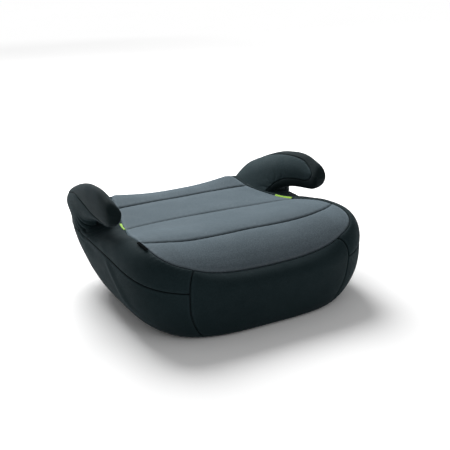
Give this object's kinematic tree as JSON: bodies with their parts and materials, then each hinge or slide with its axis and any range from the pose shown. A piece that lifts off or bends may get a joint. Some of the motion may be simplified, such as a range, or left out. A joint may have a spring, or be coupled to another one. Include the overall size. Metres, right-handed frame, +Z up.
{
  "type": "child booster seat",
  "caption": "Backless padded booster cushion with a grey channelled top, dark side walls and a forward-hooked belt horn on each side.",
  "frame": {"origin": "middle of the footprint on the floor the seat stands on", "axes": "+X to the right seen from the back of the seat, -Y toward the front edge under the knees, +Z up"},
  "size_m": [0.452, 0.4022, 0.2145],
  "materials": {
    "base_plastic": "textured polypropylene",
    "clip_plastic": "smooth nylon",
    "foot_rubber": "matte",
    "core_plastic": "as moulded",
    "screw_steel": "zinc plated",
    "foam": "open cell foam",
    "seat_cloth": "knitted polyester on foam",
    "side_cloth": "woven polyester on foam",
    "black_cloth": "woven polyester on foam",
    "lime_ribbon": "woven ribbon",
    "label_ribbon": "satin ribbon",
    "elastic": "braided elastic"
  },
  "bodies": {
    "root": {"base_shell": "base_plastic", "rubber_feet": "foot_rubber", "left_horn_core": "core_plastic", "right_horn_core": "core_plastic", "horn_screws": "screw_steel", "seat_foam": "foam", "left_thigh_foam": "foam", "right_thigh_foam": "foam", "left_side_foam": "foam", "right_side_foam": "foam", "front_foam": "foam", "back_foam": "foam", "left_horn_foam": "foam", "right_horn_foam": "foam", "seat_panel": "seat_cloth", "front_panel": "side_cloth", "back_panel": "side_cloth", "left_side_band": "side_cloth", "right_side_band": "side_cloth", "left_side_panel": "side_cloth", "right_side_panel": "side_cloth", "left_horn_outer_panel": "side_cloth", "right_horn_outer_panel": "side_cloth", "left_horn_inner_panel": "side_cloth", "right_horn_inner_panel": "side_cloth", "left_horn_gusset": "black_cloth", "right_horn_gusset": "black_cloth", "left_belt_marker": "lime_ribbon", "right_belt_marker": "lime_ribbon", "seam_label": "label_ribbon", "hem_facing": "black_cloth", "hem_elastic": "elastic", "cover_clips": "clip_plastic"}
  },
  "joints": []
}
